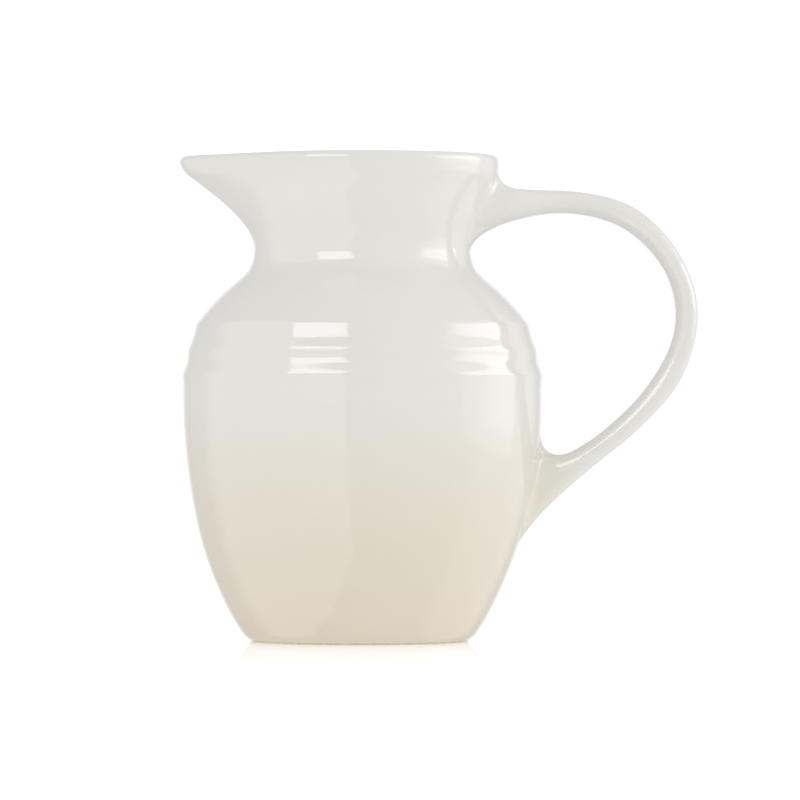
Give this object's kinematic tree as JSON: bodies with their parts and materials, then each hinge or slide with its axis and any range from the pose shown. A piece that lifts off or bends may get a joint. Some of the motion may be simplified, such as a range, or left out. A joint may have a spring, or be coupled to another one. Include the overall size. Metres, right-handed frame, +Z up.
{
  "type": "ceramic pitcher",
  "caption": "Glazed stoneware pouring pitcher with a full belly, ringed shoulder, narrow neck, flared collar drawn out to a beak, and a tall luted loop handle.",
  "frame": {"origin": "centre of the foot ring, in the plane the pitcher stands on, on the vessel's axis", "axes": "+Z up along the vessel's axis, +X towards the handle, the beak points along -X"},
  "size_m": [0.2135, 0.1486, 0.2],
  "materials": {
    "bare_clay": "fired stoneware, unglazed, fine sandy grain",
    "slip": "fired casting slip, unglazed",
    "outer_glaze": "glossy off-white glaze shading to warm cream at the foot",
    "liner_glaze": "glossy off-white liner glaze",
    "handle_glaze": "glossy off-white glaze, faintly warm at the lower root"
  },
  "bodies": {
    "root": {"vessel_body": "bare_clay", "handle": "bare_clay", "upper_slip_joint": "slip", "lower_slip_joint": "slip", "outer_glaze": "outer_glaze", "inner_glaze": "liner_glaze", "handle_glaze": "handle_glaze", "base_glaze": "liner_glaze"}
  },
  "joints": []
}
